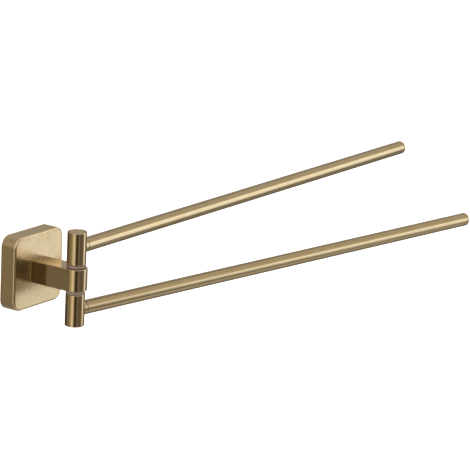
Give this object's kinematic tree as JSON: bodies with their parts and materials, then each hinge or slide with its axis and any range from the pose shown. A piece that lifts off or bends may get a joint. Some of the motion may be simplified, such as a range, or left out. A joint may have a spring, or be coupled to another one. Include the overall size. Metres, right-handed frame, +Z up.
{
  "type": "swivel towel rack",
  "caption": "Wall-mounted towel rack: square flange, short square arm with a round nose, and long round bars that swing on one vertical pivot barrel.",
  "frame": {"origin": "centre of the wall bracket's back face, on the wall", "axes": "+Z up, +Y into the wall, so the rack stands out towards -Y; +X along the wall, the way the bars point at rest"},
  "size_m": [0.4269, 0.1139, 0.066],
  "materials": {
    "brushed_gold": "brushed champagne gold, satin",
    "zinc_steel": "zinc-plated steel, dull",
    "brown_nylon": "brown-grey nylon, matt"
  },
  "bodies": {
    "wall_mount": {"flange_cover": "brushed_gold", "wall_bracket": "zinc_steel", "flange_set_screw": "zinc_steel", "arm": "brushed_gold", "arm_screw_upper": "zinc_steel", "arm_screw_lower": "zinc_steel", "pivot_bolt": "zinc_steel", "pivot_nut": "zinc_steel", "upper_spring_washer": "zinc_steel", "lower_spring_washer": "zinc_steel", "upper_glide_washer": "brown_nylon", "lower_glide_washer": "brown_nylon"},
    "upper_swing_bar": {"upper_drum": "brushed_gold", "upper_bushing": "brown_nylon", "upper_drum_cap": "brushed_gold", "upper_bar_root": "brushed_gold", "upper_bar": "brushed_gold", "upper_bar_end_cap": "brushed_gold"},
    "lower_swing_bar": {"lower_drum": "brushed_gold", "lower_bushing": "brown_nylon", "lower_drum_cap": "brushed_gold", "lower_bar_root": "brushed_gold", "lower_bar": "brushed_gold", "lower_bar_end_cap": "brushed_gold"}
  },
  "joints": [
    {"name": "upper_swivel", "type": "hinge", "parent": "wall_mount", "child": "upper_swing_bar", "pos_m": [0, -0.0445, 0.0219], "axis": [0, 0, -1], "range_deg": [0, 180]},
    {"name": "lower_swivel", "type": "hinge", "parent": "wall_mount", "child": "lower_swing_bar", "pos_m": [0, -0.0445, -0.0219], "axis": [0, 0, -1], "range_deg": [-9.3, 170.7]}
  ]
}
